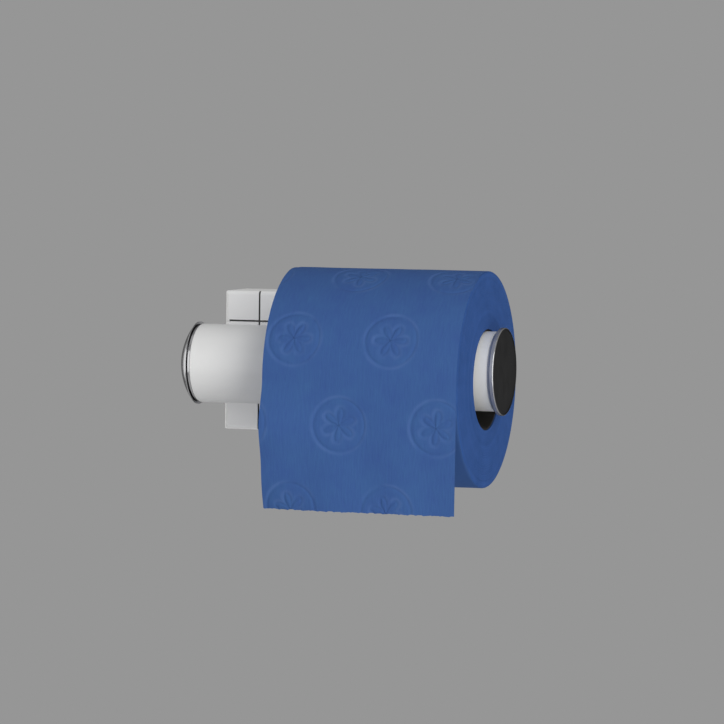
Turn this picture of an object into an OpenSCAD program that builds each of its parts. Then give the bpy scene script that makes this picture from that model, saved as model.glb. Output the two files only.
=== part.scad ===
// Toilet roll holder for a wall. A thick hollow bar is carried near its left end by a
// moulded bracket. A domed chrome cap closes its left end, and a flat chrome disc its right.
// A paper roll hangs on the bar.
// +X runs along the bar to the right, +Y points into the wall and +Z is up. The origin is
// the centre of the bracket's back face, on the wall.

/* [Bar] */
// Outer diameter of the bar
bar_d = 40; // [36:0.5:42]
// Wall thickness of the bar
bar_wall = 2; // [1.5:0.1:3]
// Distance from the wall to the bar's axis
bar_reach = 64; // [60:0.5:80]
// Bevel on the bar's outer ends
bar_bevel = 0.4; // [0.2:0.1:1]

/* [End caps] */
// Diameter of the flat disc on the right end
disc_d = 44; // [41:0.5:46]
// Thickness of the disc
disc_t = 2.4; // [1.6:0.1:4]
// Rounding of the disc's rim
disc_edge_r = 0.5; // [0.2:0.1:0.7]
// Width of the raised lip round the disc's face
lip_w = 0.9; // [0.8:0.1:3]
// Height of that lip
lip_h = 0.25; // [0.1:0.05:0.6]
// Diameter of the domed cap on the left end
cap_d = 42; // [41:0.5:44]
// Thickness of the cap's rim
cap_rim = 0.4; // [0.2:0.1:2]
// How far the cap's dome stands out from its rim
cap_h = 7.6; // [3:0.2:12]
// Diameter of the stud behind the disc and the cap
stud_d = 6; // [4:0.5:8]
// Length of that stud
stud_len = 6; // [4:0.5:7]
// Thickness of the plug's flange on the bar's end
flange_t = 0.9; // [0.8:0.1:3]
// How far the flange stays inside the bar's outline
flange_step = 0.2; // [0:0.1:1]
// Length of the dark gap between flange and end piece
gap_len = 0.5; // [0.2:0.1:2]
// Diameter of the plug inside that gap
gap_d = 36.5; // [30:0.5:38]
// Length of the plug's spigot in the bar
spigot_len = 7; // [6:0.5:8]
// Wall of the spigot under its ring groove
spigot_wall = 2.2; // [1.5:0.1:3]
// Thickness of the plug's web
plug_web = 1.5; // [1:0.1:3]
// Wall of the boss round the stud
boss_wall = 2.5; // [1.5:0.1:4]
// Thickness of the rubber ring
ring_t = 2.2; // [1.6:0.1:2.6]

/* [Bracket housing] */
// Width of the housing
housing_w = 37.6; // [36:0.2:48]
// Height of the housing
housing_h = 72; // [66:0.5:90]
// Depth of the housing from the wall
housing_depth = 30; // [26:0.5:34]
// Wall of the housing
housing_wall = 2.4; // [2:0.1:3]
// Rounding of the housing's front edges
edge_r = 2; // [1:0.1:2.4]
// Rounding of the four corners seen from the front
corner_r = 1.5; // [1:0.1:2.4]
// Thickness of the rib between the spacer sleeves
rib_t = 2; // [1.2:0.1:2.6]
// Width of a screw well
well_w = 12.6; // [11.5:0.1:12.8]
// Height of a screw well
well_h = 11.4; // [10:0.1:11.6]
// Depth of the narrow mouth of a screw well
mouth_depth = 2.6; // [2:0.1:5]

/* [Covers] */
// Height of a screw cover
cover_h = 16; // [15.8:0.1:17]
// Depth of a screw cover
cover_depth = 6; // [4.5:0.1:8]
// Thickness of a cover's front
cover_front_t = 2.4; // [1.6:0.1:3]
// Wall of a cover's skirt
cover_wall = 1.8; // [1.2:0.1:2.2]
// Width of the shadow lines between covers and housing
seam_w = 0.9; // [0.4:0.1:1.2]
// Depth of the shadow lines
seam_depth = 1.6; // [0.4:0.1:1.8]
// How far the level shadow lines stop short of the sides
seam_stop = 2.4; // [1:0.1:5]
// Width of a clip tongue
tongue_w = 6; // [4:0.5:8]
// Thickness of a clip tongue
tongue_t = 1.4; // [1:0.1:1.8]
// How far the tongue's barb stands out
barb_h = 0.5; // [0.3:0.05:0.8]
// Length of the barb
barb_len = 2.5; // [1.5:0.1:4]

/* [Neck] */
// Width of the neck between housing and bar
neck_w = 30; // [26:0.5:34]
// Height of the neck
neck_h = 26; // [20:0.5:30]
// Rounding of the neck's corners
neck_r = 4; // [3:0.1:8]
// Wall of the neck
neck_wall = 2.6; // [2:0.1:2.8]
// Thickness of the neck's seat behind the bar
seat_t = 4; // [3:0.1:8]
// How far the flared foot of the neck stands out
foot_r = 1.5; // [0.5:0.1:2]

/* [Wall plate] */
// Thickness of the steel plate
plate_t = 4; // [3.6:0.1:6]
// Rounding of the plate's corners
plate_r = 3; // [1:0.5:6]
// Width of the housing's rim round the plate
plate_rim = 2.5; // [2:0.1:5]
// Diameter of the four wall screw holes
wall_hole_d = 5.4; // [4:0.1:6]

/* [Bolts] */
// Diameter of the two bolts that hold the bar
bolt_d = 6; // [5:0.5:6]
// Distance between the two bolts
bolt_spacing = 14; // [13.5:0.5:15]
// Diameter of a bolt's countersunk head
head_d = 12; // [10:0.5:12]
// Width of the hexagonal socket in the head
socket_w = 4; // [2:0.5:4]
// Depth of that socket
socket_depth = 2.4; // [1:0.1:3]
// How far the bolts reach into the bar's insert
bolt_grip = 13; // [8:0.5:13.5]
// Wall of a spacer sleeve
sleeve_wall = 1.2; // [0.8:0.1:1.3]
// Length of the insert in the bar
insert_len = 30; // [26:0.5:40]
// Gap between the left plug and the insert
insert_gap = 0.5; // [0.2:0.1:1]
// How far the insert's flat face stays behind the bar's axis
insert_set_back = 2; // [0:0.1:3]

/* [Paper roll] */
// Diameter of the paper roll
roll_d = 108.6; // [80:0.2:116]
// Width of the paper roll
roll_w = 100; // [90:0.5:102]
// Rounding of the paper roll's edges
roll_edge_r = 1; // [0.5:0.1:4]
// Bore of the cardboard core
core_bore_d = 49; // [47:0.5:54]
// Wall of the cardboard core
core_wall = 0.8; // [0.4:0.1:1.5]
// How far the core's ends lie inside the paper's faces
core_recess = 0.6; // [0:0.1:3]
// Free length of the bar between the housing's side and the roll
roll_start_gap = 13.8; // [4:0.1:40]
// Free length of the bar to the right of the roll
roll_end_gap = 5.3; // [2:0.1:8]
// Thickness of the hanging end of paper
tail_t = 0.5; // [0.3:0.1:1]
// How far the paper hangs below the roll's centre
tail_drop = 64; // [40:1:120]
// Arc of loose paper over the front of the roll
tail_wrap = 70; // [50:1:88]

/* [Clearances] */
// Gap between pieces that press together
fit_gap = 0.05; // [0.02:0.01:0.1]
// Gap round the covers and the plate
cover_gap = 0.15; // [0.05:0.05:0.3]
// Gap round a bolt in the pieces that it passes
bolt_gap = 0.3; // [0.2:0.05:0.4]
// Gap between paper and what it touches
paper_gap = 0.3; // [0.1:0.05:0.5]

/* [Hidden] */
$fn = 96;
hexagon_sides = 6;
// Every cut runs past its piece by this much
over = 1;

bar_r = bar_d / 2;
bar_bore_r = bar_r - bar_wall;
// The bar starts flush with the housing's left side, and is as long as the roll asks
bar_left = -housing_w / 2;
bar_len = housing_w + roll_start_gap + roll_w + roll_end_gap;
bar_right = bar_left + bar_len;
bar_back = -bar_reach + bar_r;

disc_r = disc_d / 2;
cap_r = cap_d / 2;
// Radius of the ball that the cap's dome is cut from
dome_r = (cap_r * cap_r + cap_h * cap_h) / (2 * cap_h);
stud_r = stud_d / 2;
disc_seat = flange_t + gap_len;
spigot_r = bar_bore_r - fit_gap;
ring_outer_r = bar_bore_r - fit_gap;
groove_r = ring_outer_r - ring_t - fit_gap;
groove_w = ring_t + 2 * fit_gap;
boss_r = stud_r + fit_gap + boss_wall;

front_y = -housing_depth;
ledge_y = front_y + cover_depth;
cover_edge_z = housing_h / 2 - cover_h;
well_x = housing_w / 4;
well_z = housing_h / 2 - cover_h / 2;
cavity_w = housing_w - 2 * housing_wall;
cavity_h = 2 * (cover_edge_z - housing_wall);
plate_w = housing_w - 2 * plate_rim;
plate_h = housing_h - 2 * plate_rim;
neck_bore_w = neck_w - 2 * neck_wall;
neck_bore_h = neck_h - 2 * neck_wall;
seat_y = bar_back + seat_t;

bolt_r = bolt_d / 2;
bolt_hole_r = bolt_r + bolt_gap;
bolt_x = bolt_spacing / 2;
head_len = (head_d - bolt_d) / 2;
bolt_end_y = bar_back - bar_wall - bolt_grip;
sleeve_r = bolt_hole_r + sleeve_wall;
insert_r = bar_bore_r - fit_gap;
insert_left = bar_left + spigot_len + insert_gap;

roll_r = roll_d / 2;
roll_right = bar_right - roll_end_gap;
roll_left = roll_right - roll_w;
core_bore_r = core_bore_d / 2;
core_r = core_bore_r + core_wall;
// The core's bore hangs on the top of the bar
roll_z = bar_r + paper_gap - core_bore_r;
tail_inner_r = roll_r + paper_gap;
tail_outer_r = tail_inner_r + tail_t;

// A rectangle about the origin with round corners
module rounded_rect(w, h, r) {
    square([w, h - 2 * r], center = true);
    square([w - 2 * r, h], center = true);
    for (x = [-1, 1], y = [-1, 1])
        translate([x * (w / 2 - r), y * (h / 2 - r)]) circle(r = r);
}

// Turns a flat outline to stand along Y, from y_back towards the front
module along_y(y_back, depth) {
    translate([0, y_back, 0]) rotate([90, 0, 0]) linear_extrude(depth) children();
}

// A round bar along Y
module rod_y(r, y_back, depth) {
    translate([0, y_back, 0]) rotate([90, 0, 0]) cylinder(r = r, h = depth);
}

// Turns an outline of radius and length into a body round the bar's axis
module around_bar(x) {
    translate([x, -bar_reach, 0]) rotate([0, 90, 0]) rotate_extrude() children();
}

// Section through the housing's depth, with its two front edges rounded
module depth_section(w) {
    translate([-w / 2, front_y + edge_r]) square([w, housing_depth - edge_r]);
    translate([-w / 2 + edge_r, front_y]) square([w - 2 * edge_r, housing_depth]);
    for (side = [-1, 1])
        translate([side * (w / 2 - edge_r), front_y + edge_r]) circle(r = edge_r);
}

// The outline that housing and covers share
module bracket_block() {
    intersection() {
        translate([0, 0, -housing_h / 2]) linear_extrude(housing_h) depth_section(housing_w);
        translate([-housing_w / 2, 0, 0]) rotate([0, 90, 0]) linear_extrude(housing_w)
            depth_section(housing_h);
        along_y(0, housing_depth) rounded_rect(housing_w, housing_h, corner_r);
    }
}

module plate_outline(gap) {
    rounded_rect(plate_w + 2 * gap, plate_h + 2 * gap, plate_r);
}

// Steel plate against the wall: four holes for the wall screws, two countersunk ones for the bolts
module wall_plate() {
    color("lightsteelblue") difference() {
        along_y(0, plate_t) plate_outline(-cover_gap);
        for (x = [-1, 1], z = [-1, 1])
            translate([x * well_x, 0, z * well_z]) rod_y(wall_hole_d / 2, over, plate_t + 2 * over);
        for (x = [-1, 1]) translate([x * bolt_x, 0, 0]) {
            rod_y(bolt_hole_r, over, plate_t + 2 * over);
            rotate([90, 0, 0])
                cylinder(r1 = head_d / 2 + bolt_gap, r2 = bolt_hole_r, h = head_len);
        }
    }
}

// One screw well: a narrow mouth, and a wider body that the cover's barbs hook into
module screw_well() {
    translate([well_x - well_w / 2, ledge_y - over, well_z - well_h / 2])
        cube([well_w, mouth_depth + 2 * over, well_h]);
    translate([well_x - well_w / 2 - barb_h, ledge_y + mouth_depth, well_z - well_h / 2])
        cube([well_w + 2 * barb_h, -ledge_y - mouth_depth - plate_t + over, well_h]);
}

// The neck's outline with its flared foot on the housing's front
module neck_body() {
    along_y(front_y + housing_wall, housing_wall + bar_reach - housing_depth)
        rounded_rect(neck_w, neck_h, neck_r);
    along_y(front_y + housing_wall, housing_wall + foot_r)
        rounded_rect(neck_w + 2 * foot_r, neck_h + 2 * foot_r, neck_r + foot_r);
}

// Moulded housing, open at the back, with its hollow neck and the curved seat for the bar
module housing() {
    color("whitesmoke") difference() {
        union() {
            difference() {
                bracket_block();
                // Room for the plate and the hollow behind the front wall
                along_y(over, plate_t + over) plate_outline(0);
                translate([-cavity_w / 2, front_y + housing_wall, -cavity_h / 2])
                    cube([cavity_w, housing_depth - housing_wall, cavity_h]);
            }
            neck_body();
            translate([-rib_t / 2, front_y + housing_wall, -cavity_h / 2])
                cube([rib_t, housing_depth - housing_wall - plate_t - fit_gap, cavity_h]);
        }
        // The four corners where the covers sit
        for (z = [-1, 1]) translate([0, 0, z * (cover_edge_z + housing_h / 2)])
            translate([-housing_w / 2 - over, front_y - over, -housing_h / 2])
                cube([housing_w + 2 * over, cover_depth + over, housing_h]);
        for (x = [0, 1], z = [0, 1]) mirror([x, 0, 0]) mirror([0, 0, z]) screw_well();
        // Hollow of the neck, behind its seat
        along_y(front_y + housing_wall + over, front_y + housing_wall + over - seat_y)
            rounded_rect(neck_bore_w, neck_bore_h, neck_r - neck_wall);
        // The seat follows the bar
        translate([-housing_w, -bar_reach, 0]) rotate([0, 90, 0])
            cylinder(r = bar_r + fit_gap, h = 2 * housing_w);
        for (x = [-1, 1]) translate([x * bolt_x, 0, 0])
            rod_y(bolt_hole_r, seat_y + over, seat_t + bar_r);
        // Shadow line between the upper and lower covers
        translate([-seam_w / 2, front_y - over, -cover_edge_z - over])
            cube([seam_w, seam_depth + over, cover_edge_z - neck_h / 2 - foot_r + over]);
        translate([-seam_w / 2, front_y - over, neck_h / 2 + foot_r])
            cube([seam_w, seam_depth + over, cover_edge_z - neck_h / 2 - foot_r + over]);
    }
}

// Side view of a clip tongue, with its barb, from the cover's front towards the wall
module tongue_outline() {
    tip = cover_depth - cover_front_t + mouth_depth + cover_gap + barb_len;
    polygon([
        [0, 0],
        [tongue_t, 0],
        [tongue_t, tip - barb_len],
        [tongue_t + barb_h - fit_gap, tip - barb_len],
        [tongue_t, tip],
        [tongue_t / 2, tip],
        [0, tip - barb_len / 2]
    ]);
}

// The upper right screw cover: a cap with a skirt and two clip tongues. The others mirror it
module screw_cover() {
    inner_y = front_y + cover_front_t;
    difference() {
        intersection() {
            bracket_block();
            translate([cover_gap / 2, front_y - over, cover_edge_z + cover_gap])
                cube([housing_w, cover_depth + over - cover_gap, cover_h]);
        }
        translate([cover_gap / 2 + cover_wall, inner_y, cover_edge_z + cover_gap + cover_wall])
            cube([
                housing_w / 2 - cover_gap / 2 - 2 * cover_wall,
                cover_depth,
                cover_h - cover_gap - 2 * cover_wall
            ]);
        // Shadow lines along the two edges that face the other covers and the housing
        translate([-over, front_y - over, cover_edge_z])
            cube([housing_w / 2 - seam_stop + over, seam_depth + over, seam_w]);
        translate([0, front_y - over, cover_edge_z - over])
            cube([seam_w / 2, seam_depth + over, cover_h + 2 * over]);
    }
    for (side = [-1, 1])
        translate([well_x, inner_y, well_z - tongue_w / 2]) mirror([(1 - side) / 2, 0, 0])
            translate([well_w / 2 - fit_gap - tongue_t, 0, 0])
                linear_extrude(tongue_w) tongue_outline();
}

module cover_top_right() {
    color("white") screw_cover();
}

module cover_top_left() {
    color("white") mirror([1, 0, 0]) screw_cover();
}

module cover_bottom_right() {
    color("white") mirror([0, 0, 1]) screw_cover();
}

module cover_bottom_left() {
    color("white") mirror([1, 0, 0]) mirror([0, 0, 1]) screw_cover();
}

// Two sleeves that carry the bolts' force from the plate to the neck's seat
module spacer_sleeves() {
    sleeve_len = -plate_t - seat_y;
    color("gainsboro") for (x = [-1, 1]) translate([x * bolt_x, 0, 0]) difference() {
        rod_y(sleeve_r, -plate_t, sleeve_len);
        rod_y(bolt_hole_r, -plate_t + over, sleeve_len + 2 * over);
    }
}

// Two countersunk bolts from the plate's back into the insert
module bar_bolts() {
    color("silver") for (x = [-1, 1]) translate([x * bolt_x, 0, 0]) difference() {
        union() {
            rod_y(bolt_r, 0, -bolt_end_y);
            rotate([90, 0, 0]) cylinder(r1 = head_d / 2, r2 = bolt_r, h = head_len);
        }
        translate([0, over, 0]) rotate([90, 0, 0])
            cylinder(d = socket_w, h = socket_depth + over, $fn = hexagon_sides);
    }
}

// Hollow white bar with two bolt holes at its back
module bar_tube() {
    color("white") difference() {
        around_bar(bar_left) polygon([
            [bar_bore_r, 0],
            [bar_r - bar_bevel, 0],
            [bar_r, bar_bevel],
            [bar_r, bar_len - bar_bevel],
            [bar_r - bar_bevel, bar_len],
            [bar_bore_r, bar_len]
        ]);
        for (x = [-1, 1]) translate([x * bolt_x, 0, 0])
            rod_y(bolt_hole_r, bar_back + over, bar_r);
    }
}

// Half-round block in the bar that the two bolts thread into
module bar_insert() {
    color("gainsboro") difference() {
        translate([insert_left, -bar_reach, 0]) rotate([0, 90, 0])
            cylinder(r = insert_r, h = insert_len);
        translate([insert_left - over, -bar_reach + insert_set_back - bar_d, -bar_r])
            cube([insert_len + 2 * over, bar_d, bar_d]);
        for (x = [-1, 1]) translate([x * bolt_x, 0, 0])
            rod_y(bolt_r + fit_gap, bar_back + over, bar_d);
    }
}

// Section of an end plug: ringed spigot, web with a boss for the stud, flange and short neck
module plug_section() {
    difference() {
        union() {
            translate([0, -spigot_len]) square([spigot_r, spigot_len]);
            square([bar_r - flange_step, flange_t]);
            square([gap_d / 2, disc_seat]);
        }
        translate([groove_r, -spigot_len / 2 - groove_w / 2]) square([bar_r, groove_w]);
        translate([boss_r, -spigot_len - over])
            square([groove_r - spigot_wall - boss_r, spigot_len + over - plug_web]);
        translate([0, -spigot_len - over]) square([stud_r + fit_gap, spigot_len + bar_r]);
    }
}

module end_plug() {
    around_bar(bar_right) plug_section();
}

// Round piece mirrored to the bar's left end
module at_left_end() {
    translate([bar_left + bar_right, 0, 0]) mirror([1, 0, 0]) children();
}

module plug_right() {
    color("silver") end_plug();
}

module plug_left() {
    color("silver") at_left_end() end_plug();
}

// Rubber ring that grips the bar from inside
module grip_ring() {
    around_bar(bar_right) translate([ring_outer_r - ring_t / 2, -spigot_len / 2])
        circle(d = ring_t);
}

module ring_right() {
    color("dimgray") grip_ring();
}

module ring_left() {
    color("dimgray") at_left_end() grip_ring();
}

// Flat chrome disc with a round rim, a fine raised lip and the stud behind it
module disc_right() {
    rim_r = disc_r - disc_edge_r;
    color("lightgray") around_bar(bar_right + disc_seat) difference() {
        union() {
            square([rim_r, disc_t]);
            translate([0, disc_edge_r]) square([disc_r, disc_t - 2 * disc_edge_r]);
            for (h = [disc_edge_r, disc_t - disc_edge_r]) translate([rim_r, h])
                circle(r = disc_edge_r);
            translate([0, -stud_len]) square([stud_r, stud_len + disc_edge_r]);
        }
        translate([-disc_r, disc_t - lip_h]) square([2 * disc_r - lip_w, lip_h + over]);
        translate([-disc_d, -disc_d]) square([disc_d, 2 * disc_d]);
    }
}

// Domed chrome cap with a thin rim, and the same stud behind it
module disc_left() {
    color("lightgray") at_left_end() around_bar(bar_right + disc_seat) {
        intersection() {
            translate([0, cap_rim + cap_h - dome_r]) circle(r = dome_r);
            translate([0, cap_rim]) square([cap_r, cap_h + over]);
        }
        square([cap_r, cap_rim]);
        translate([0, -stud_len]) square([stud_r, stud_len + cap_rim]);
    }
}

// Lifts an outline of radius and length to the roll's own axis, which hangs below the bar's
module around_roll(x) {
    translate([0, 0, roll_z]) around_bar(x) children();
}

// Cardboard core
module roll_core() {
    color("tan") around_roll(roll_left + core_recess) translate([core_bore_r, 0])
        square([core_wall, roll_w - 2 * core_recess]);
}

// Wound paper
module paper_roll() {
    inner_r = core_r + fit_gap;
    color("royalblue") around_roll(roll_left) {
        translate([inner_r, roll_edge_r]) square([roll_r - inner_r, roll_w - 2 * roll_edge_r]);
        translate([inner_r, 0]) square([roll_r - roll_edge_r - inner_r, roll_w]);
        for (h = [roll_edge_r, roll_w - roll_edge_r]) translate([roll_r - roll_edge_r, h])
            circle(r = roll_edge_r);
    }
}

// The loose end of the paper: over the front of the roll, then straight down
module paper_tail() {
    far = 2 * tail_outer_r;
    color("cornflowerblue") translate([roll_left, -bar_reach, roll_z]) rotate([90, 0, 90])
        linear_extrude(roll_w) {
            intersection() {
                difference() {
                    circle(r = tail_outer_r);
                    circle(r = tail_inner_r);
                }
                polygon([
                    [0, 0],
                    [-far, 0],
                    [-far, far],
                    [-far * cos(tail_wrap), far * sin(tail_wrap)]
                ]);
            }
            translate([-tail_outer_r, -tail_drop]) square([tail_t, tail_drop + fit_gap]);
        }
}

wall_plate();
housing();
cover_top_left();
cover_top_right();
cover_bottom_left();
cover_bottom_right();
spacer_sleeves();
bar_bolts();
bar_tube();
bar_insert();
plug_left();
plug_right();
ring_left();
ring_right();
disc_left();
disc_right();
roll_core();
paper_roll();
paper_tail();
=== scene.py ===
"""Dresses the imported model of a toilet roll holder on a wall, with a roll of blue paper on its bar."""

import math

import bmesh
import bpy
import numpy as np
from mathutils import Matrix, Vector


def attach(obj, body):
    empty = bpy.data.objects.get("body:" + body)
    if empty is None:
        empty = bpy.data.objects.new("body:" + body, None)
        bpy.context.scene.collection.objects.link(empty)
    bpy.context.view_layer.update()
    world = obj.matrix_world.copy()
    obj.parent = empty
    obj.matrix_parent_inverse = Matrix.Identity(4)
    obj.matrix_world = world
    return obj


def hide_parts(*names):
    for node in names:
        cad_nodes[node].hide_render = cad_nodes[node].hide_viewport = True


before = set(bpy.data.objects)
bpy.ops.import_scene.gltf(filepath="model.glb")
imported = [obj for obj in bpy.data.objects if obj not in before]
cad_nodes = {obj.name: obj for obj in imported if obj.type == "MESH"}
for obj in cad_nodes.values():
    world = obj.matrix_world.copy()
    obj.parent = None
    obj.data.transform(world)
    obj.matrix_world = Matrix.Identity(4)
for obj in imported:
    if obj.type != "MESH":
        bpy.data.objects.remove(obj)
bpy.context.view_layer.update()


# The studio. The holder hangs in a plain grey room, high above a pale floor, and a long lens looks
# at it from the right and a little above, as in the photograph. A tall soft box lights it from the
# right, one fills in from the left, one lights its far left side, and a weak one hangs above it.
camera_place = (0.67771, -1.98412, 0.11309)
camera_turn = 17.649
camera_dip = 3.133
camera_roll = 0.717
lens_length = 198.9
holder_middle = (0.06, -0.06, 0.0)
room_strength = 0.345
backdrop_grey = (0.305, 0.305, 0.305)
floor_size = 8
floor_z = -1.2
floor_grey = (0.68, 0.68, 0.68)

scene = bpy.context.scene
scene.view_settings.view_transform = "Standard"

photo_camera = bpy.data.objects.new("photo_camera", bpy.data.cameras.new("photo_camera"))
photo_camera.data.lens = lens_length
photo_camera.data.sensor_width = 36
photo_camera.data.clip_start = 0.05
photo_camera.data.clip_end = 30
photo_camera.matrix_world = (
    Matrix.Translation(camera_place)
    @ Matrix.Rotation(math.radians(camera_turn), 4, "Z")
    @ Matrix.Rotation(math.radians(90 - camera_dip), 4, "X")
    @ Matrix.Rotation(math.radians(camera_roll), 4, "Z")
)
scene.collection.objects.link(photo_camera)
scene.camera = photo_camera


def add_soft_box(name, place, width, height, power):
    """A rectangular soft box at a place, turned to face the holder."""
    lamp = bpy.data.lights.new(name, "AREA")
    lamp.shape = "RECTANGLE"
    lamp.size = width
    lamp.size_y = height
    lamp.energy = power
    soft_box = bpy.data.objects.new(name, lamp)
    facing = (Vector(holder_middle) - Vector(place)).to_track_quat("-Z", "Y")
    soft_box.matrix_world = Matrix.Translation(place) @ facing.to_matrix().to_4x4()
    soft_box.visible_camera = False
    scene.collection.objects.link(soft_box)


def add_math(tree, operation, *values):
    """A Math node on values that are numbers or outputs of other nodes."""
    step = tree.nodes.new("ShaderNodeMath")
    step.operation = operation
    for socket, value in zip(step.inputs, values):
        if isinstance(value, (int, float)):
            socket.default_value = value
        else:
            tree.links.new(value, socket)
    return step.outputs[0]


add_soft_box("right_soft_box", (1.275, -1.508, 0.3), width=0.9, height=3.4, power=32)
add_soft_box("left_soft_box", (-0.432, -1.895, 0.2), width=0.9, height=2.2, power=5.6)
add_soft_box("back_soft_box", (-1.728, 0.769, 0.0), width=0.9, height=2.2, power=9)
add_soft_box("top_soft_box", (0.06, -0.5, 1.6), width=1.4, height=1.0, power=1.2)

room = bpy.data.worlds.new("grey_room")
room.use_nodes = True
scene.world = room
room_tree = room.node_tree
room_tree.nodes.clear()
room_output = room_tree.nodes.new("ShaderNodeOutputWorld")
room_mix = room_tree.nodes.new("ShaderNodeMixShader")
room_light = room_tree.nodes.new("ShaderNodeBackground")
room_light.inputs["Color"].default_value = (1.0, 1.0, 1.0, 1)
room_light.inputs["Strength"].default_value = room_strength
room_backdrop = room_tree.nodes.new("ShaderNodeBackground")
room_backdrop.inputs["Color"].default_value = (*backdrop_grey, 1)
rays = room_tree.nodes.new("ShaderNodeLightPath").outputs
seen_or_mirrored = add_math(room_tree, "MAXIMUM", rays["Is Camera Ray"], rays["Is Glossy Ray"])
seen_at_all = add_math(room_tree, "MAXIMUM", seen_or_mirrored, rays["Is Transmission Ray"])
room_tree.links.new(seen_at_all, room_mix.inputs[0])
room_tree.links.new(room_light.outputs[0], room_mix.inputs[1])
room_tree.links.new(room_backdrop.outputs[0], room_mix.inputs[2])
room_tree.links.new(room_mix.outputs[0], room_output.inputs["Surface"])

bpy.ops.object.select_all(action="DESELECT")
bpy.ops.mesh.primitive_plane_add(size=floor_size, location=(holder_middle[0], 0.0, floor_z))
studio_floor = bpy.context.object
studio_floor.name = "studio_floor"
floor_paint = bpy.data.materials.new("pale_floor")
floor_paint.use_nodes = True
floor_shader = floor_paint.node_tree.nodes["Principled BSDF"]
floor_shader.inputs["Base Color"].default_value = (*floor_grey, 1)
floor_shader.inputs["Roughness"].default_value = 0.9
studio_floor.data.materials.append(floor_paint)


# The wall plate, the two bolts that hold the bar to it, the insert in the bar that they screw into,
# and the spacer sleeves round them. Plate and bolts are zinc-plated steel, with a fine grain from
# rolling. Insert and sleeves are plain drawn aluminium, a little duller.
def start_material(name):
    """A new material with its tree, its shader, and Object coordinates to build a pattern on."""
    material = bpy.data.materials.new(name)
    material.use_nodes = True
    tree = material.node_tree
    place = tree.nodes.new("ShaderNodeTexCoord").outputs["Object"]
    return material, tree, tree.nodes["Principled BSDF"], place


def add_noise(tree, place, scale, detail, stretch=(1, 1, 1)):
    """Noise of so many grains to the metre, drawn out along an axis by a small stretch value."""
    mapping = tree.nodes.new("ShaderNodeMapping")
    mapping.inputs["Scale"].default_value = stretch
    grain = tree.nodes.new("ShaderNodeTexNoise")
    grain.inputs["Scale"].default_value = scale
    grain.inputs["Detail"].default_value = detail
    tree.links.new(place, mapping.inputs["Vector"])
    tree.links.new(mapping.outputs[0], grain.inputs["Vector"])
    return grain.outputs["Fac"]


def add_range(tree, value, lowest, highest, from_lowest=0.3, from_highest=0.7):
    """Spreads a pattern's value over a range, such as the roughness from one number to another."""
    spread = tree.nodes.new("ShaderNodeMapRange")
    spread.inputs["From Min"].default_value = from_lowest
    spread.inputs["From Max"].default_value = from_highest
    spread.inputs["To Min"].default_value = lowest
    spread.inputs["To Max"].default_value = highest
    tree.links.new(value, spread.inputs["Value"])
    return spread.outputs[0]


def add_colours(tree, value, first, second):
    """Runs from one colour, or another node's colour, to a second one with a pattern's value."""
    blend = tree.nodes.new("ShaderNodeMix")
    blend.data_type = "RGBA"
    if isinstance(first, tuple):
        blend.inputs["A"].default_value = (*first, 1)
    else:
        tree.links.new(first, blend.inputs["A"])
    blend.inputs["B"].default_value = (*second, 1)
    tree.links.new(value, blend.inputs["Factor"])
    return blend.outputs["Result"]


def add_bump(tree, shader, height, depth, below=None):
    """Raises the surface by a pattern, to a depth in metres, over another bump if there is one."""
    bump = tree.nodes.new("ShaderNodeBump")
    bump.inputs["Strength"].default_value = 1
    bump.inputs["Distance"].default_value = depth
    tree.links.new(height, bump.inputs["Height"])
    if below is not None:
        tree.links.new(below, bump.inputs["Normal"])
    tree.links.new(bump.outputs[0], shader.inputs["Normal"])
    return bump.outputs[0]


plated_steel, tree, shader, place = start_material("plated_steel")
shader.inputs["Metallic"].default_value = 1
steel_grain = add_noise(tree, place, 900, 4, (1, 1, 0.04))
steel_clouds = add_noise(tree, place, 90, 3)
tree.links.new(add_colours(tree, steel_clouds, (0.50, 0.51, 0.53), (0.62, 0.62, 0.61)),
               shader.inputs["Base Color"])
tree.links.new(add_range(tree, steel_grain, 0.26, 0.46), shader.inputs["Roughness"])
add_bump(tree, shader, steel_grain, 0.00002)

drawn_aluminium, tree, shader, place = start_material("drawn_aluminium")
shader.inputs["Metallic"].default_value = 1
drawn_lines = add_noise(tree, place, 1400, 3, (1, 0.03, 1))
tree.links.new(add_colours(tree, drawn_lines, (0.58, 0.58, 0.59), (0.68, 0.68, 0.69)),
               shader.inputs["Base Color"])
tree.links.new(add_range(tree, drawn_lines, 0.34, 0.52), shader.inputs["Roughness"])
add_bump(tree, shader, drawn_lines, 0.00002)

for name in ("wall_plate", "bar_bolts"):
    cad_nodes[name].data.materials[0] = plated_steel
for name in ("bar_insert", "spacer_sleeves"):
    cad_nodes[name].data.materials[0] = drawn_aluminium


# The bracket's housing, moulded in white plastic, and the four covers clipped over its screws.
# The mould leaves a faint satin grain. Each shut line between the parts is a real gap,
# and the inside of it is painted near black as painted shade.
line_half_width = 0.00046
line_middle_y = -0.0290
line_half_depth = 0.0007
level_line_z = 0.02045
level_line_end = 0.0165


def split_place(tree, place):
    """The three coordinates of a place, each on its own."""
    parts = tree.nodes.new("ShaderNodeSeparateXYZ")
    tree.links.new(place, parts.inputs[0])
    return parts.outputs


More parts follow.
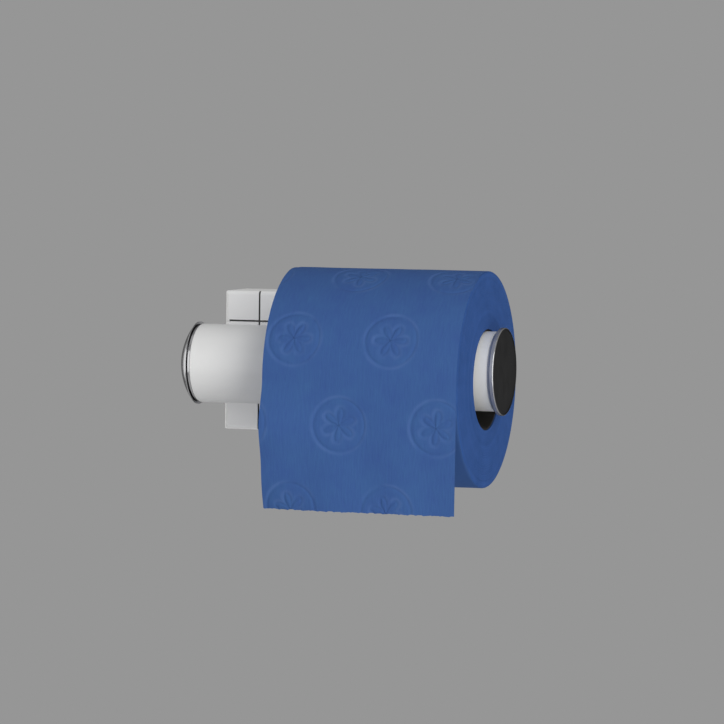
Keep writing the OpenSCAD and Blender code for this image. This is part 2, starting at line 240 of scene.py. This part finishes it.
white_moulding, tree, shader, place = start_material("white_moulding")
shader.inputs["IOR"].default_value = 1.49
moulded_clouds = add_noise(tree, place, 45, 3)
moulded_grain = add_noise(tree, place, 2600, 2)
plain_moulding_colours = add_colours(tree, moulded_clouds, (0.90, 0.90, 0.895), (0.94, 0.94, 0.935))
place_x, place_y, place_z = split_place(tree, place)
side_distance = add_math(tree, "ABSOLUTE", place_x)
level_distance = add_math(tree, "ABSOLUTE", place_z)
in_upright_line = add_math(tree, "LESS_THAN", side_distance, line_half_width)
near_level_line = add_math(tree, "COMPARE", level_distance, level_line_z, line_half_width)
before_line_end = add_math(tree, "LESS_THAN", side_distance, level_line_end)
in_level_line = add_math(tree, "MULTIPLY", near_level_line, before_line_end)
in_either_line = add_math(tree, "MAXIMUM", in_upright_line, in_level_line)
in_depth = add_math(tree, "COMPARE", place_y, line_middle_y, line_half_depth)
shut_line_painted_shade = add_math(tree, "MULTIPLY", in_either_line, in_depth)
# Inside the shut lines the white is painted near black: painted shade where light doesn't reach.
tree.links.new(add_colours(tree, shut_line_painted_shade, plain_moulding_colours, (0.10, 0.10, 0.098)),
               shader.inputs["Base Color"])
tree.links.new(add_range(tree, moulded_clouds, 0.34, 0.44), shader.inputs["Roughness"])
add_bump(tree, shader, moulded_grain, 0.00001)
cad_nodes["housing"].data.materials[0] = white_moulding
for name in ("cover_top_left", "cover_top_right", "cover_bottom_left", "cover_bottom_right"):
    cad_nodes[name].data.materials[0] = white_moulding


# The bar, an aluminium tube with a baked white powder coat. The coat is satin, with the slight
# orange peel that powder has, and streaks along it where the cores of paper rolls have rubbed.
white_coating, tree, shader, place = start_material("white_coating")
shader.inputs["IOR"].default_value = 1.5
shader.inputs["Coat Weight"].default_value = 0.25
shader.inputs["Coat Roughness"].default_value = 0.3
coat_peel = add_noise(tree, place, 700, 2)
coat_clouds = add_noise(tree, place, 60, 4)
coat_rubs = add_noise(tree, place, 240, 5, (0.12, 1, 1))
tree.links.new(add_colours(tree, coat_clouds, (0.77, 0.77, 0.76), (0.82, 0.82, 0.81)),
               shader.inputs["Base Color"])
tree.links.new(add_range(tree, coat_rubs, 0.36, 0.50), shader.inputs["Roughness"])
add_bump(tree, shader, coat_peel, 0.000025)
cad_nodes["bar_tube"].data.materials[0] = white_coating


# The bar's two ends: in each a turned plug with a black rubber ring, and on it a domed cap at the
# left and a flat disc at the right. All are turned and chromed. The right end's flank is satin, and
# the disc's face has a dark satin coat inside its lip, over the fine rings of the lathe.
bar_axis_y = -0.064
disc_face_x = 0.1412
disc_face_radius = 0.0215
coat_edge = 0.0001
ring_step = 0.00018
flank_middle_x = 0.1395
flank_half_width = 0.0016


def add_axis_distance(tree, place, axis_y, axis_z):
    """How far a place is from an axis that runs level, as the bar does."""
    from_axis = tree.nodes.new("ShaderNodeVectorMath")
    from_axis.operation = "SUBTRACT"
    from_axis.inputs[1].default_value = (0, axis_y, axis_z)
    across_axis = tree.nodes.new("ShaderNodeVectorMath")
    across_axis.operation = "MULTIPLY"
    across_axis.inputs[1].default_value = (0, 1, 1)
    distance = tree.nodes.new("ShaderNodeVectorMath")
    distance.operation = "LENGTH"
    tree.links.new(place, from_axis.inputs[0])
    tree.links.new(from_axis.outputs[0], across_axis.inputs[0])
    tree.links.new(across_axis.outputs[0], distance.inputs[0])
    return distance.outputs["Value"]


polished_ends, tree, shader, place = start_material("polished_ends")
shader.inputs["Metallic"].default_value = 1
shader.inputs["Specular Tint"].default_value = (0.35, 0.35, 0.35, 1)
axis_radius = add_axis_distance(tree, place, bar_axis_y, 0)
along_bar = split_place(tree, place)["X"]
on_disc = add_math(tree, "GREATER_THAN", along_bar, disc_face_x)
inside_lip = add_range(tree, axis_radius, 1, 0, disc_face_radius, disc_face_radius + coat_edge)
on_face = add_math(tree, "MULTIPLY", on_disc, inside_lip)
on_flank = add_math(tree, "COMPARE", along_bar, flank_middle_x, flank_half_width)
in_satin = add_math(tree, "MAXIMUM", on_face, on_flank)
lathe_rings = add_math(tree, "PINGPONG", axis_radius, ring_step)
ring_height = add_range(tree, lathe_rings, 0, 1, 0, ring_step)
smears = add_noise(tree, place, 120, 4)
ends_roughness = tree.nodes.new("ShaderNodeMix")
tree.links.new(in_satin, ends_roughness.inputs["Factor"])
tree.links.new(add_range(tree, smears, 0.12, 0.20), ends_roughness.inputs["A"])
tree.links.new(add_range(tree, smears, 0.34, 0.46), ends_roughness.inputs["B"])
tree.links.new(ends_roughness.outputs["Result"], shader.inputs["Roughness"])
tree.links.new(add_colours(tree, on_face, (0.58, 0.58, 0.59), (0.115, 0.115, 0.116)),
               shader.inputs["Base Color"])
add_bump(tree, shader, add_math(tree, "MULTIPLY", ring_height, on_face), 0.000012)

black_rubber, tree, shader, place = start_material("black_rubber")
shader.inputs["IOR"].default_value = 1.52
rubber_grain = add_noise(tree, place, 1800, 4)
tree.links.new(add_colours(tree, rubber_grain, (0.010, 0.010, 0.011), (0.026, 0.026, 0.027)),
               shader.inputs["Base Color"])
tree.links.new(add_range(tree, rubber_grain, 0.62, 0.82), shader.inputs["Roughness"])
add_bump(tree, shader, rubber_grain, 0.00004)

for name in ("plug_left", "plug_right", "disc_left", "disc_right"):
    cad_nodes[name].data.materials[0] = polished_ends
for name in ("ring_left", "ring_right"):
    cad_nodes[name].data.materials[0] = black_rubber


# The roll's core, wound from two strips of cardboard on a spiral, the seam of each halfway
# between the other's, and cut square at both ends. The card is coloured near black, painting the
# deep shade inside the bore. It hangs on the bar by the top of its bore.
roll_left = 0.0326
roll_width = 0.100
roll_axis_z = -0.0042
core_recess = 0.0006
core_left = roll_left + core_recess
core_length = roll_width - 2 * core_recess
strip_width = 0.0704
strip_gap = 0.0003
strip_pitch = strip_width + strip_gap
strip_thickness = 0.00038
inner_strip_radius = 0.0245
outer_strip_radius = 0.02491
strip_turns = 4
steps_a_turn = 128


def wind_strip(name, inner_radius, start_turn):
    """One strip of card, swept round the core's axis on a spiral and cut square at both ends."""
    bpy.ops.object.select_all(action="DESELECT")
    bpy.ops.mesh.primitive_plane_add(
        size=1,
        location=(
            inner_radius + strip_thickness / 2,
            0,
            strip_width / 2 - strip_pitch * (1 + start_turn),
        ),
        rotation=(math.pi / 2, 0, 0),
    )
    strip = bpy.context.object
    strip.name = name
    strip.scale = (strip_thickness, strip_width, 1)
    bpy.ops.object.transform_apply(location=True, rotation=True, scale=True)
    bpy.ops.object.mode_set(mode="EDIT")
    bpy.ops.mesh.select_all(action="SELECT")
    bpy.ops.mesh.delete(type="ONLY_FACE")
    bpy.ops.object.mode_set(mode="OBJECT")
    screw = strip.modifiers.new("spiral", "SCREW")
    screw.axis = "Z"
    screw.screw_offset = strip_pitch
    screw.steps = steps_a_turn
    screw.render_steps = steps_a_turn
    screw.iterations = strip_turns
    bpy.ops.object.modifier_apply(modifier=screw.name)
    bpy.ops.object.mode_set(mode="EDIT")
    bpy.ops.mesh.select_all(action="SELECT")
    bpy.ops.mesh.bisect(plane_co=(0, 0, 0), plane_no=(0, 0, -1), use_fill=True, clear_outer=True)
    bpy.ops.mesh.select_all(action="SELECT")
    bpy.ops.mesh.bisect(
        plane_co=(0, 0, core_length), plane_no=(0, 0, 1), use_fill=True, clear_outer=True
    )
    bpy.ops.mesh.select_all(action="SELECT")
    bpy.ops.mesh.remove_doubles(threshold=0.000002)
    bpy.ops.mesh.normals_make_consistent(inside=False)
    bpy.ops.object.mode_set(mode="OBJECT")
    return strip


card_core = wind_strip("card_core", inner_strip_radius, 0)
outer_strip = wind_strip("outer_strip", outer_strip_radius, 0.5)
bpy.ops.object.select_all(action="DESELECT")
outer_strip.select_set(True)
card_core.select_set(True)
bpy.context.view_layer.objects.active = card_core
bpy.ops.object.join()
card_core.data.transform(
    Matrix.Translation((core_left, bar_axis_y, roll_axis_z))
    @ Matrix.Rotation(math.pi / 2, 4, "Y")
)
bpy.ops.object.shade_smooth_by_angle(angle=math.radians(35))

card_painted_as_bore_shade, tree, shader, place = start_material("card_painted_as_bore_shade")
shader.inputs["IOR"].default_value = 1.45
card_fibres = add_noise(tree, place, 1500, 5, (0.3, 1, 1))
card_clouds = add_noise(tree, place, 260, 4)
# Near-black card colour: painted shade for the dark inside of the bore, not the card's own grey.
tree.links.new(add_colours(tree, card_clouds, (0.020, 0.018, 0.016), (0.032, 0.029, 0.026)),
               shader.inputs["Base Color"])
tree.links.new(add_range(tree, card_fibres, 0.80, 0.96), shader.inputs["Roughness"])
add_bump(tree, shader, card_fibres, 0.00006)
card_core.data.materials.append(card_painted_as_bore_shade)
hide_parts("roll_core")
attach(card_core, "roll")


# The roll itself, soft blue paper wound on the core. It is turned from its own section, then
# pressed all over with rows of daisies in a ring, and a line of slits where the next sheet tears.
# Just outside each pressed line the paper is painted lighter, a painted highlight.
# Its two cut faces show the edges of the windings, some of them a hair prouder than the rest.
roll_radius = 0.0543
roll_bore = 0.02535
roll_edge = 0.001
wall_cuts = 149
cut_face_cuts = 9
turn_steps = 448
rows_round = 8
row_pitch = 2 * math.pi * roll_radius / rows_round
column_pitch = 0.050
first_column = 0.3
daisy_ring = 0.0130
daisy_petal = 0.0082
daisy_eye = 0.0012
petal_waves = 3
row_twist = 0.4
petal_strength = 0.85
steep_guard = 0.002
line_width = 0.0008
press_depth = 0.00016
rim_highlight_offset = 0.0011
plain_margin = 0.0015
edge_press = 0.25
slit_pitch = 0.0042
slit_share = 0.6
slit_width = 0.0004
slit_strength = 0.8
swell_height = 0.00010
swell_reach = 0.05
winding_height = 0.00012
fine_windings = 5200
coarse_windings = 1730
slanted_windings = 900
sheet_length = 0.140
tail_drop = 0.064


def pressed_depth(across, along):
    """How deep the paper is pressed, from 0 to 1, at a place across and along it."""
    row = np.floor(along / row_pitch)
    shift = (first_column + row % 2 / 2) * column_pitch
    side = (across - shift + column_pitch / 2) % column_pitch - column_pitch / 2
    up = along - (row + 0.5) * row_pitch
    distance = np.hypot(side, up)
    turn = petal_waves * (np.arctan2(up, side) + row_twist * row)
    ring = np.exp(-(((distance - daisy_ring) / line_width) ** 2))
    slope = petal_waves * daisy_petal * np.sin(turn) / np.maximum(distance, steep_guard)
    petal_miss = (distance - daisy_petal * np.abs(np.cos(turn))) / np.hypot(1, slope)
    petals = petal_strength * np.exp(-((petal_miss / line_width) ** 2)) * (distance > daisy_eye)
    return np.maximum(ring, petals)


def torn_slits(across, along, tear_line):
    """A row of short slits across the paper, where one sheet tears from the next."""
    in_slit = (across / slit_pitch) % 1 < slit_share
    return slit_strength * in_slit * np.exp(-(((along - tear_line) / slit_width) ** 2))


def paper_waves(across, along, seed):
    """Slow waves in the paper, each a little longer and more turned than the one before."""
    wave_count = 5
    waves = np.zeros(len(across))
    for number in range(wave_count):
        length = 0.016 + 0.009 * number
        slant = seed + 1.3 * number
        phase = (across * math.cos(slant) + along * math.sin(slant)) / length
        waves += np.sin(2 * math.pi * phase + 2.1 * number * seed)
    return waves / wave_count


def mesh_points(piece):
    """The places of a piece's vertices, a row for each."""
    points = np.zeros(len(piece.data.vertices) * 3)
    piece.data.vertices.foreach_get("co", points)
    return points.reshape(-1, 3)


bpy.ops.object.select_all(action="DESELECT")
bpy.ops.mesh.primitive_plane_add(
    size=1,
    location=(roll_left + roll_width / 2, bar_axis_y - (roll_bore + roll_radius) / 2, roll_axis_z),
)
wound_roll = bpy.context.object
wound_roll.name = "wound_roll"
wound_roll.scale = (roll_width, roll_radius - roll_bore, 1)
bpy.ops.object.transform_apply(location=True, rotation=False, scale=True)
bpy.ops.object.mode_set(mode="EDIT")
section = bmesh.from_edit_mesh(wound_roll.data)
bpy.ops.mesh.select_all(action="DESELECT")
for vertex in section.verts:
    if vertex.co.y < bar_axis_y - (roll_bore + roll_radius) / 2:
        vertex.select = True
bmesh.update_edit_mesh(wound_roll.data)
bpy.ops.mesh.bevel(
    affect="VERTICES", offset=roll_edge, offset_type="OFFSET", segments=4, profile=0.5
)
bpy.ops.mesh.select_all(action="SELECT")
bpy.ops.mesh.delete(type="ONLY_FACE")
outer_edge_lengths = (0.09, 0.0995, wall_cuts)
cut_face_lengths = (0.02, 0.04, cut_face_cuts)
for lowest_length, highest_length, cuts in (outer_edge_lengths, cut_face_lengths):
    section = bmesh.from_edit_mesh(wound_roll.data)
    bpy.ops.mesh.select_all(action="DESELECT")
    bpy.ops.mesh.select_mode(type="EDGE")
    for edge in section.edges:
        if lowest_length < edge.calc_length() < highest_length:
            edge.select = True
    bmesh.update_edit_mesh(wound_roll.data)
    bpy.ops.mesh.subdivide(number_cuts=cuts)
bpy.ops.mesh.select_mode(type="VERT")
bpy.ops.mesh.select_all(action="SELECT")
bpy.ops.mesh.spin(
    steps=turn_steps,
    angle=2 * math.pi,
    center=(0, bar_axis_y, roll_axis_z),
    axis=(1, 0, 0),
)
bpy.ops.mesh.select_all(action="SELECT")
bpy.ops.mesh.remove_doubles(threshold=0.00001)
bpy.ops.mesh.normals_make_consistent(inside=False)
bpy.ops.object.mode_set(mode="OBJECT")

points = mesh_points(wound_roll)
forward = bar_axis_y - points[:, 1]
upward = points[:, 2] - roll_axis_z
radius = np.hypot(forward, upward)
angle = np.arctan2(upward, forward)
along = angle * roll_radius
across = points[:, 0] - roll_left
edge_distance = np.minimum(across, roll_width - across)
on_wall = np.clip((radius - roll_radius + roll_edge) / roll_edge, 0, 1) ** 4
slit_line = (2 * sheet_length - tail_drop) - 2 * math.pi * roll_radius
pressed = np.maximum(pressed_depth(across, along), torn_slits(across, along, slit_line))
press_share = on_wall * np.clip(edge_distance / plain_margin, edge_press, 1)
swell = swell_height * paper_waves(across, np.cos(angle) * swell_reach, seed=0.7)
grown = radius + press_share * (swell - press_depth * pressed)
on_cut = (edge_distance < 0.0001) * (radius > roll_bore + 0.0005)
winding = np.sin(radius * fine_windings) * np.sin(radius * coarse_windings + 1)
winding += 0.4 * np.sin(angle * 3 + radius * slanted_windings)
proud = winding_height * winding * on_cut * np.where(across > roll_width / 2, 1, -1)
points[:, 0] += proud
points[:, 1] = bar_axis_y - np.cos(angle) * grown
points[:, 2] = roll_axis_z + np.sin(angle) * grown
wound_roll.data.vertices.foreach_set("co", points.ravel())

roll_uv = wound_roll.data.uv_layers.new(name="paper")
for face in wound_roll.data.polygons:
    corner_angles = angle[list(face.vertices)]
    if corner_angles.max() - corner_angles.min() > math.pi:
        corner_angles = np.where(corner_angles < 0, corner_angles + 2 * math.pi, corner_angles)
    for corner, vertex, corner_angle in zip(face.loop_indices, face.vertices, corner_angles):
        roll_uv.data[corner].uv = (across[vertex], corner_angle * roll_radius)
    face.material_index = 1 if abs(face.normal.x) > 0.8 else 0
bpy.ops.object.shade_smooth_by_angle(angle=math.radians(50))

blue_paper, tree, shader, place = start_material("blue_paper")
shader.inputs["IOR"].default_value = 1.4
shader.inputs["Specular IOR Level"].default_value = 0.1
sheet_place = tree.nodes.new("ShaderNodeTexCoord").outputs["UV"]
paper_streaks = add_noise(tree, sheet_place, 900, 4, (1, 0.16, 1))
paper_fibres = add_noise(tree, sheet_place, 2600, 3)
paper_clouds = add_noise(tree, sheet_place, 70, 6)
cloud_tone = add_range(tree, paper_clouds, 0, 0.55)
streak_tone = add_range(tree, paper_streaks, 0, 0.45)
paper_tone = add_math(tree, "ADD", cloud_tone, streak_tone)
tree.links.new(add_range(tree, paper_fibres, 0.84, 0.97), shader.inputs["Roughness"])
sheet_parts = split_place(tree, sheet_place)
sheet_row = add_math(tree, "FLOOR", add_math(tree, "DIVIDE", sheet_parts["Y"], row_pitch))
odd_row = add_math(tree, "FLOORED_MODULO", sheet_row, 2)
even_shift = (0.5 - first_column) * column_pitch
row_shift = add_math(tree, "MULTIPLY_ADD", odd_row, -column_pitch / 2, even_shift)
shifted = add_math(tree, "ADD", sheet_parts["X"], row_shift)
in_column = add_math(tree, "FLOORED_MODULO", shifted, column_pitch)
daisy_side = add_math(tree, "SUBTRACT", in_column, column_pitch / 2)
row_middle = add_math(tree, "MULTIPLY_ADD", sheet_row, row_pitch, row_pitch / 2)
daisy_up = add_math(tree, "SUBTRACT", sheet_parts["Y"], row_middle)
side_squared = add_math(tree, "MULTIPLY", daisy_side, daisy_side)
squares = add_math(tree, "MULTIPLY_ADD", daisy_up, daisy_up, side_squared)
daisy_distance = add_math(tree, "SQRT", squares)
row_turn = add_math(tree, "MULTIPLY", sheet_row, row_twist)
petal_turn = add_math(tree, "ADD", add_math(tree, "ARCTAN2", daisy_up, daisy_side), row_turn)
petal_phase = add_math(tree, "MULTIPLY", petal_turn, petal_waves)
petal_reach = add_math(tree, "ABSOLUTE", add_math(tree, "COSINE", petal_phase))
petal_gap = add_math(tree, "MULTIPLY_ADD", petal_reach, -daisy_petal, daisy_distance)
slope_distance = add_math(tree, "MAXIMUM", daisy_distance, steep_guard)
unit_slope = add_math(tree, "DIVIDE", add_math(tree, "SINE", petal_phase), slope_distance)
petal_slope = add_math(tree, "MULTIPLY", unit_slope, petal_waves * daisy_petal)
slope_squared = add_math(tree, "MULTIPLY_ADD", petal_slope, petal_slope, 1)
petal_miss = add_math(tree, "DIVIDE", petal_gap, add_math(tree, "SQRT", slope_squared))
ring_miss = add_math(tree, "SUBTRACT", daisy_distance, daisy_ring)


def pressed_line(outward):
    """How much a place belongs to a pressed line, or to a line that lies outward of it."""
    ring_distance = add_math(tree, "ABSOLUTE", add_math(tree, "SUBTRACT", ring_miss, outward))
    petal_distance = add_math(tree, "ABSOLUTE", add_math(tree, "SUBTRACT", petal_miss, outward))
    line_distance = add_math(tree, "MINIMUM", ring_distance, petal_distance)
    share = add_math(tree, "DIVIDE", line_distance, line_width)
    share_squared = add_math(tree, "MULTIPLY", share, share)
    return add_math(tree, "EXPONENT", add_math(tree, "MULTIPLY", share_squared, -1))


raised = add_math(tree, "SUBTRACT", 1, pressed_line(0))
# A painted highlight: a lighter blue line just outside each pressed line, faded here and there.
rim_highlight_fade = add_noise(tree, sheet_place, 75, 2)
rim_highlight_strength = add_range(tree, rim_highlight_fade, 0.04, 0.46, 0.36, 0.64)
painted_rim_highlight = add_math(tree, "MULTIPLY", pressed_line(rim_highlight_offset), rim_highlight_strength)
paper_colours = add_colours(tree, paper_tone, (0.044, 0.097, 0.288), (0.050, 0.122, 0.308))
tree.links.new(add_colours(tree, painted_rim_highlight, paper_colours, (0.085, 0.160, 0.380)),
               shader.inputs["Base Color"])
streak_bump = add_bump(tree, shader, paper_streaks, 0.00016)
press_bump = add_bump(tree, shader, raised, press_depth, streak_bump)
add_bump(tree, shader, paper_fibres, 0.00006, press_bump)

cut_paper, tree, shader, place = start_material("cut_paper")
shader.inputs["IOR"].default_value = 1.4
ring_place = tree.nodes.new("ShaderNodeCombineXYZ")
winding_radius = add_axis_distance(tree, place, bar_axis_y, roll_axis_z)
tree.links.new(winding_radius, ring_place.inputs["X"])
winding_lines = add_noise(tree, ring_place.outputs[0], 2400, 3)
winding_bands = add_noise(tree, ring_place.outputs[0], 330, 2)
cut_fibres = add_noise(tree, place, 1500, 4)
cut_clouds = add_noise(tree, place, 110, 4)
band_tone = add_range(tree, winding_bands, 0, 0.5)
cloudy_tone = add_range(tree, cut_clouds, 0, 0.5)
cut_tone = add_math(tree, "ADD", band_tone, cloudy_tone)
tree.links.new(add_colours(tree, cut_tone, (0.017, 0.076, 0.272), (0.033, 0.110, 0.374)),
               shader.inputs["Base Color"])
tree.links.new(add_range(tree, cut_fibres, 0.86, 0.98), shader.inputs["Roughness"])
winding_bump = add_bump(tree, shader, winding_lines, 0.0003)
add_bump(tree, shader, cut_fibres, 0.00012, winding_bump)

wound_roll.data.materials.append(blue_paper)
wound_roll.data.materials.append(cut_paper)
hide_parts("paper_roll")
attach(wound_roll, "roll")


# The loose end, the sheet that comes over the top of the roll and hangs down in front of it. It
# leaves the windings near the top, lies just clear of them to the front, and hangs from there to
# its torn edge, pressed with the same daisies. Its left side bows forward and curls back below.
tail_radius = 0.05485
tail_thickness = 0.00035
leave_angle = math.radians(74)
tuck_angle = math.radians(92)
tuck_radius = 0.0539
tail_length = tail_drop + tail_radius * tuck_angle
columns = 176
rows = 262
tooth_share = 0.28
tooth_depth = 0.0002
ragged_depth = 0.00018
torn_band = 0.002
long_wave = 0.0005
short_wave = 0.00035
forward_lean = 0.0006
fine_swell = 0.00006
bowed_width = 0.035
belly_height = 0.044
belly_depth = 0.0045
curl_start = 0.038
curl_height = 0.026
curl_depth = 0.0052


def eased(share):
    """A share from 0 to 1 that starts and ends gently."""
    return share * share * (3 - 2 * share)


bpy.ops.object.select_all(action="DESELECT")
bpy.ops.mesh.primitive_grid_add(x_subdivisions=columns, y_subdivisions=rows, size=1)
loose_end = bpy.context.object
loose_end.name = "loose_end"
loose_end.scale = (roll_width, tail_length, 1)
bpy.ops.object.transform_apply(location=False, rotation=False, scale=True)

flat_points = mesh_points(loose_end)
across = flat_points[:, 0] + roll_width / 2
along = flat_points[:, 1] + tail_length / 2
torn_teeth = ((across / slit_pitch) % 1 < tooth_share) * tooth_depth
torn_teeth += ragged_depth * np.sin(across * 900) * np.sin(across * 310)
bottom_share = np.clip(1 - along / torn_band, 0, 1)
height = along - tail_drop
turned = np.clip(height / tail_radius, 0, None)
ease = np.clip((turned - leave_angle) / (tuck_angle - leave_angle), 0, 1)
sheet_radius = tail_radius + (tuck_radius - tail_radius) * eased(ease)
hang = np.clip(-height / tail_drop, 0, 1)
wave = long_wave * hang * np.sin(across * 75 + 0.6)
wave += short_wave * hang * np.sin(across * 190 + along * 40)
wave += forward_lean * hang**3
left_share = eased(np.clip(1 - across / bowed_width, 0, 1))
below_axis = np.clip(-height, 0, None)
belly = belly_depth * np.sin(math.pi * np.clip(below_axis / belly_height, 0, 1)) ** 2
curl = curl_depth * np.clip((below_axis - curl_start) / curl_height, 0, 1) ** 2
wave += left_share * (belly - curl)
slits = torn_slits(across, along, sheet_length)
edge_distance = np.minimum(across, roll_width - across)
press_share = np.clip(edge_distance / plain_margin, edge_press, 1)
lift = wave + fine_swell * paper_waves(across, along, seed=1.9)
lift -= press_share * press_depth * np.maximum(pressed_depth(across, along - tail_drop), slits)
sheet_radius = sheet_radius + lift
sheet_points = np.empty_like(flat_points)
sheet_points[:, 0] = roll_left + across
sheet_points[:, 1] = bar_axis_y - np.cos(turned) * sheet_radius
sheet_points[:, 2] = roll_axis_z + np.sin(turned) * sheet_radius + np.minimum(height, 0)
sheet_points[:, 2] -= bottom_share * torn_teeth
loose_end.data.vertices.foreach_set("co", sheet_points.ravel())

tail_uv = loose_end.data.uv_layers.active or loose_end.data.uv_layers.new(name="paper")
tail_uv.name = "paper"
for face in loose_end.data.polygons:
    for corner, vertex in zip(face.loop_indices, face.vertices):
        tail_uv.data[corner].uv = (across[vertex], along[vertex] - tail_drop)
loose_end.data.update()
paper_ply = loose_end.modifiers.new("ply", "SOLIDIFY")
paper_ply.thickness = tail_thickness
paper_ply.offset = 0
bpy.ops.object.modifier_apply(modifier=paper_ply.name)
bpy.ops.object.shade_smooth_by_angle(angle=math.radians(50))
loose_end.data.materials.append(blue_paper)
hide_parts("paper_tail")
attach(loose_end, "loose_end")
